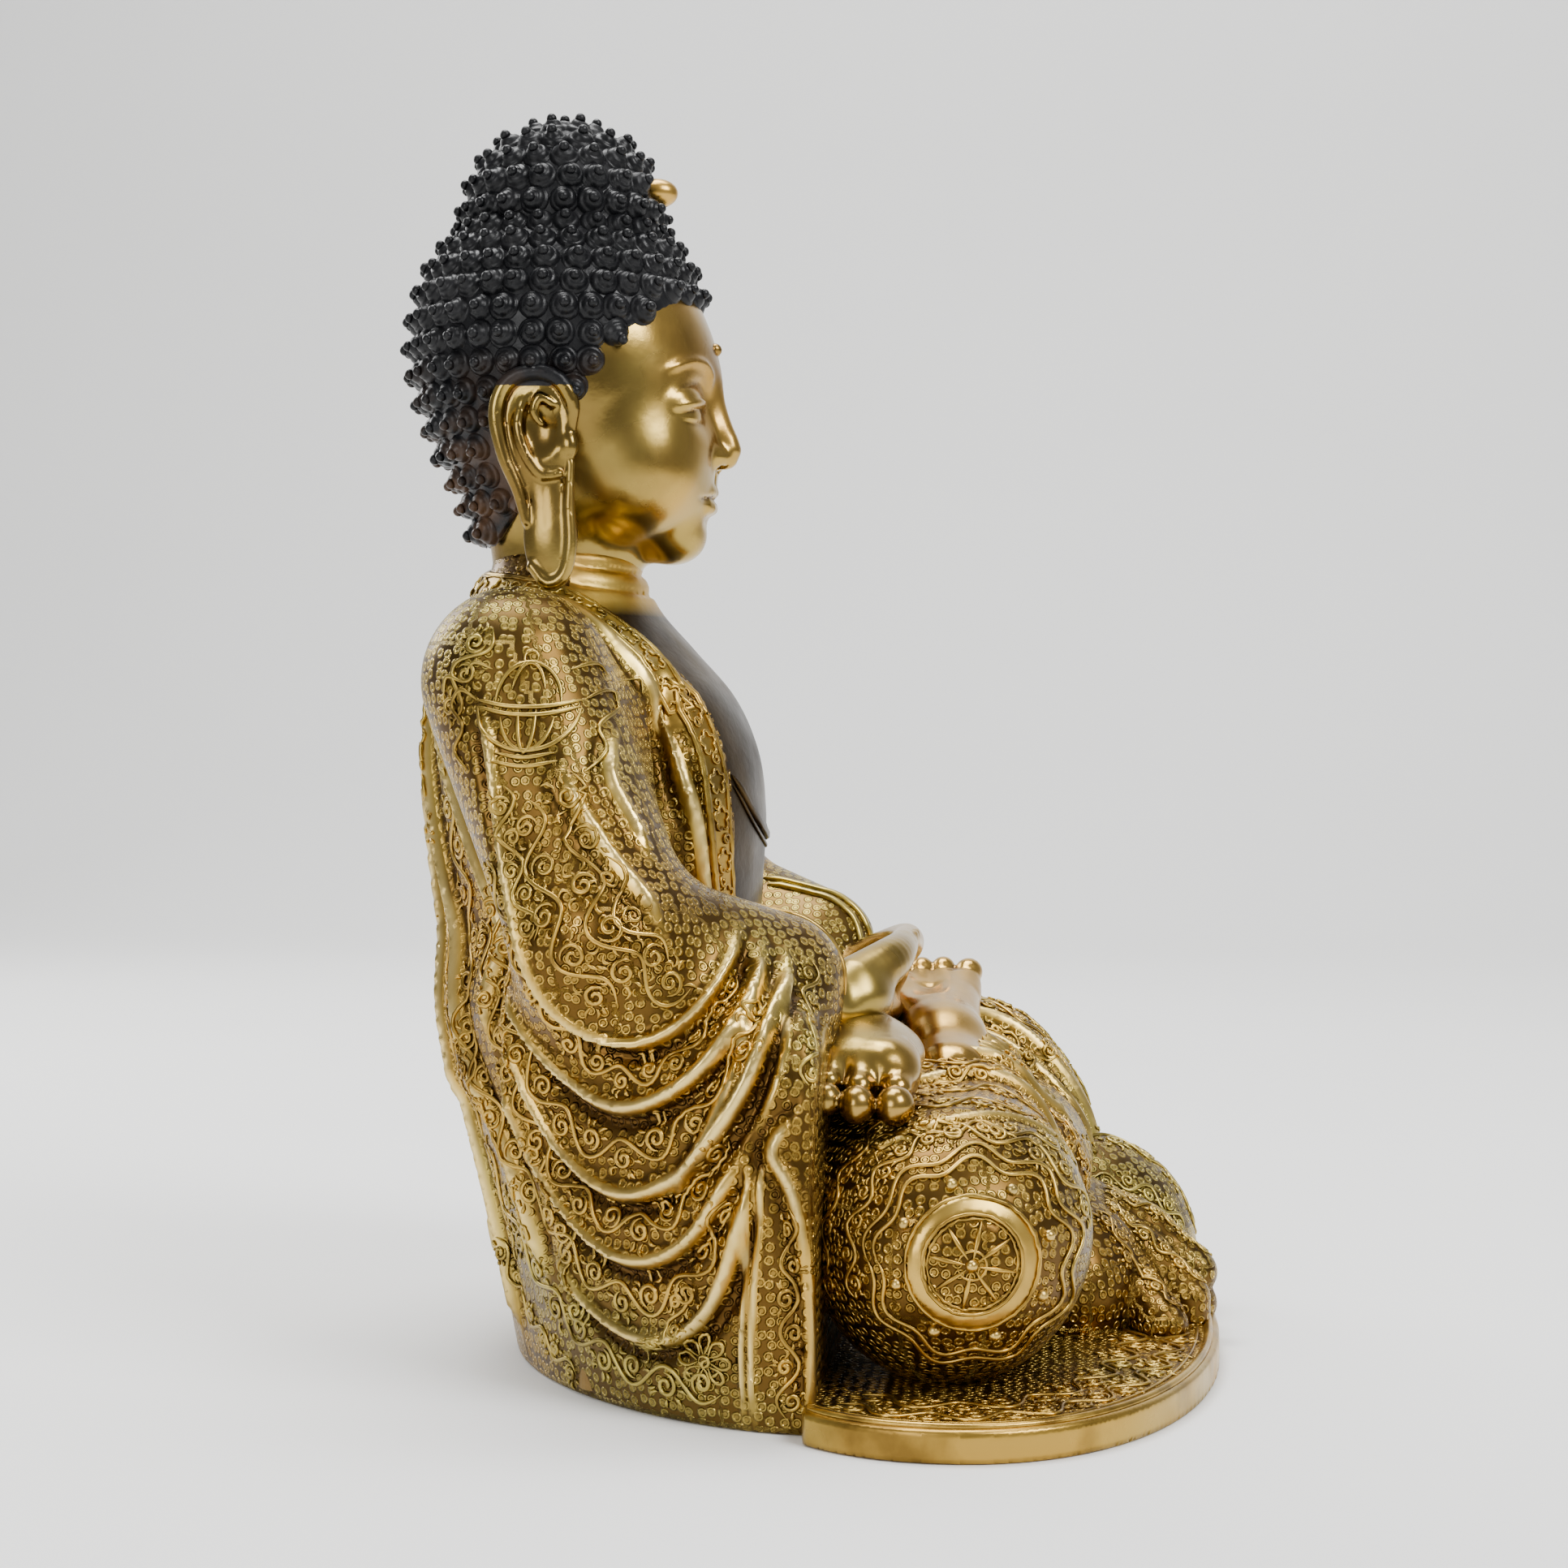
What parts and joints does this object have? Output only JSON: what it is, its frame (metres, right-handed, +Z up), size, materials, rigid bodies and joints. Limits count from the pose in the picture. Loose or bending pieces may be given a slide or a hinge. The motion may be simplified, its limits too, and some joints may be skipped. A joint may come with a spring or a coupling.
{
  "type": "seated buddha statue",
  "caption": "Hollow cast-brass statue of a seated figure in meditation, legs crossed, hands in the lap, with an engraved robe, painted snail-curl hair and a screwed base cover.",
  "frame": {"origin": "middle of the whole figure's footprint, on the surface that it stands on", "axes": "+Z up, -Y the way the figure faces, +X the figure's left side"},
  "size_m": [0.3, 0.268, 0.4001],
  "materials": {
    "gilt_robe": "cast and chased brass, gilt, brown patina in the recesses",
    "polished_skin": "polished gilt brass",
    "dark_chest": "brass with a dark brown patina, satin",
    "black_hair": "black paint, satin",
    "raw_brass": "unpolished cast brass",
    "steel_fastener": "bright steel"
  },
  "bodies": {
    "root": {"robe_shell": "gilt_robe", "front_web": "gilt_robe", "sleeve_right": "gilt_robe", "sleeve_left": "gilt_robe", "collar_band": "gilt_robe", "chest_front": "dark_chest", "neck": "polished_skin", "head": "polished_skin", "hair_cap": "black_hair", "ushnisha_dome": "black_hair", "head_curls": "black_hair", "ushnisha_curls": "black_hair", "ushnisha_jewel": "polished_skin", "urna_bead": "polished_skin", "ear_right": "polished_skin", "ear_left": "polished_skin", "hem_pad": "gilt_robe", "knee_right": "gilt_robe", "knee_left": "gilt_robe", "shin_drape": "gilt_robe", "front_hem_folds": "gilt_robe", "foot_right": "polished_skin", "foot_left": "polished_skin", "hand_right": "polished_skin", "hand_left": "polished_skin", "wrist_pins": "steel_fastener", "neck_screws": "steel_fastener", "neck_spigot": "raw_brass", "cover_screws": "steel_fastener", "cover_lugs": "raw_brass", "base_cover": "raw_brass"}
  },
  "joints": []
}
